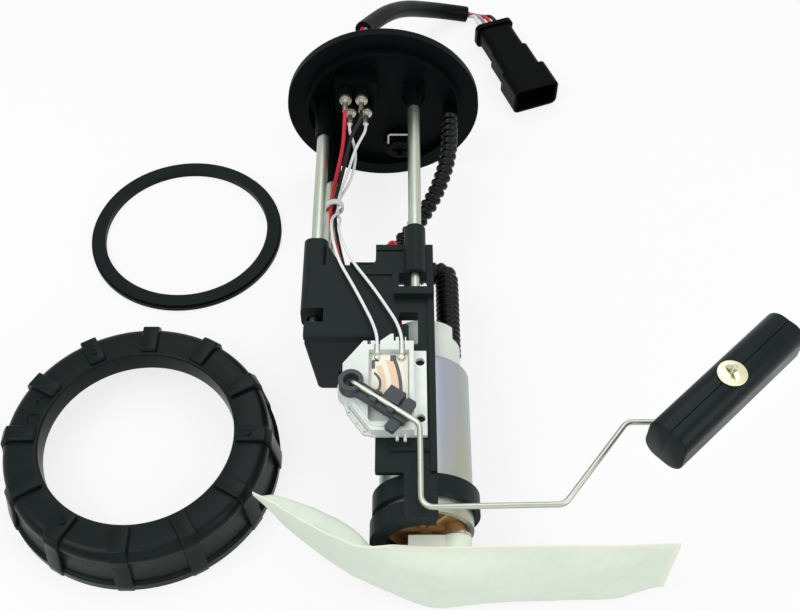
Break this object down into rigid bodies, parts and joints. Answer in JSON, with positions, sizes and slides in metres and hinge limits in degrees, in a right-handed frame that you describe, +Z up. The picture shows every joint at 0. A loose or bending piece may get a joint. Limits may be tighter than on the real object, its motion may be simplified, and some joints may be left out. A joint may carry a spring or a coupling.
{
  "type": "fuel pump module",
  "caption": "In-tank fuel pump module: flange with guide tubes, electric pump, regulator, level sender with float arm, strainer bag and harness, with its tank seal and lock ring.",
  "frame": {"origin": "centre of the flange's sealing face, where it meets the spigot", "axes": "-Y down into the tank along the module, +X towards the float, +Z up as the module lies on a table"},
  "size_m": [0.3391, 0.3815, 0.0982],
  "materials": {
    "black_plastic": "satin",
    "connector_plastic": "satin",
    "steel_tube": "drawn",
    "pump_steel": "plated",
    "white_plastic": "satin",
    "tan_plastic": "satin",
    "bright_steel": "bright",
    "brass": "plain",
    "copper": "plain",
    "iron": "plain",
    "carbon": "matt",
    "grey_plastic": "satin",
    "card_ceramic": "matt",
    "solder": "bright",
    "felt": "matt",
    "rubber": "matt",
    "float_foam": "matt",
    "hose_plastic": "satin",
    "valve_plastic": "satin",
    "red_insulation": "satin",
    "black_insulation": "satin",
    "white_insulation": "satin"
  },
  "bodies": {
    "module": {"flange": "black_plastic", "pump_holder": "black_plastic", "regulator_box": "black_plastic", "regulator_cover": "black_plastic", "brush_holder": "black_plastic", "harness_grommet": "black_plastic", "connector_housing": "connector_plastic", "guide_tube_left": "steel_tube", "guide_tube_right": "steel_tube", "guide_tube_rear": "steel_tube", "pump_can": "pump_steel", "outlet_cap": "white_plastic", "strainer_neck": "white_plastic", "sender_body": "white_plastic", "cable_tie": "white_plastic", "inlet_cover": "tan_plastic", "pump_plate": "tan_plastic", "inlet_ring": "bright_steel", "valve_clip": "bright_steel", "regulator_body": "bright_steel", "regulator_cap": "bright_steel", "terminal_studs": "bright_steel", "ring_terminals": "bright_steel", "check_valve_spring": "bright_steel", "regulator_spring": "bright_steel", "brush_springs": "bright_steel", "upper_bush": "brass", "lower_bush": "brass", "pump_terminals": "brass", "connector_pins": "brass", "motor_magnets": "iron", "brushes": "carbon", "sender_card": "card_ceramic", "sender_terminals": "solder", "strainer_bag": "felt", "connector_seal": "rubber", "upper_hose": "hose_plastic", "lower_hose": "hose_plastic", "rollover_valve": "valve_plastic", "red_wire": "red_insulation", "black_wire": "black_insulation", "harness_wires": "black_insulation", "harness_sleeve": "black_insulation", "white_wire_left": "white_insulation", "white_wire_right": "white_insulation"},
    "float_arm": {"wiper_arm": "grey_plastic", "wiper_contact": "brass", "float_wire": "bright_steel", "push_nut": "bright_steel"},
    "float_body": {"float": "float_foam"},
    "rotor": {"rotor_shaft": "bright_steel", "commutator": "copper", "armature": "iron", "impeller": "tan_plastic"},
    "check_poppet": {"check_valve": "valve_plastic"},
    "regulator_poppet": {"regulator_valve": "brass"},
    "seal": {"tank_seal": "rubber"},
    "ring": {"lock_ring": "black_plastic"}
  },
  "joints": [
    {"name": "float_arm_pivot", "type": "hinge", "parent": "module", "child": "float_arm", "pos_m": [-0.0114, -0.1818, 0.02], "axis": [0, 0, 1], "range_deg": [-4, 58]},
    {"name": "float_swivel", "type": "hinge", "parent": "float_arm", "child": "float_body", "pos_m": [0.1376, -0.1935, 0.03], "axis": [0, 0, 1], "continuous": true},
    {"name": "rotor_spin", "type": "hinge", "parent": "module", "child": "rotor", "pos_m": [0.0195, -0.19, -0.012], "axis": [0, 1, 0], "continuous": true},
    {"name": "check_valve_lift", "type": "slide", "parent": "module", "child": "check_poppet", "axis": [0, 1, 0], "range_m": [0, 0.002], "stiffness_N_per_m": 100, "springref_m": -0.002, "deforming": ["check_valve_spring"]},
    {"name": "regulator_lift", "type": "slide", "parent": "module", "child": "regulator_poppet", "axis": [0, -1, 0], "range_m": [0, 0.0015], "stiffness_N_per_m": 1500, "springref_m": -0.0016, "deforming": ["regulator_spring"]},
    {"name": "tank_seal_lift", "type": "slide", "parent": "module", "child": "seal", "axis": [0, 0, 1], "range_m": [0, 0.12]},
    {"name": "lock_ring_lift", "type": "slide", "parent": "module", "child": "ring", "axis": [0, 0, 1], "range_m": [0, 0.12]}
  ]
}
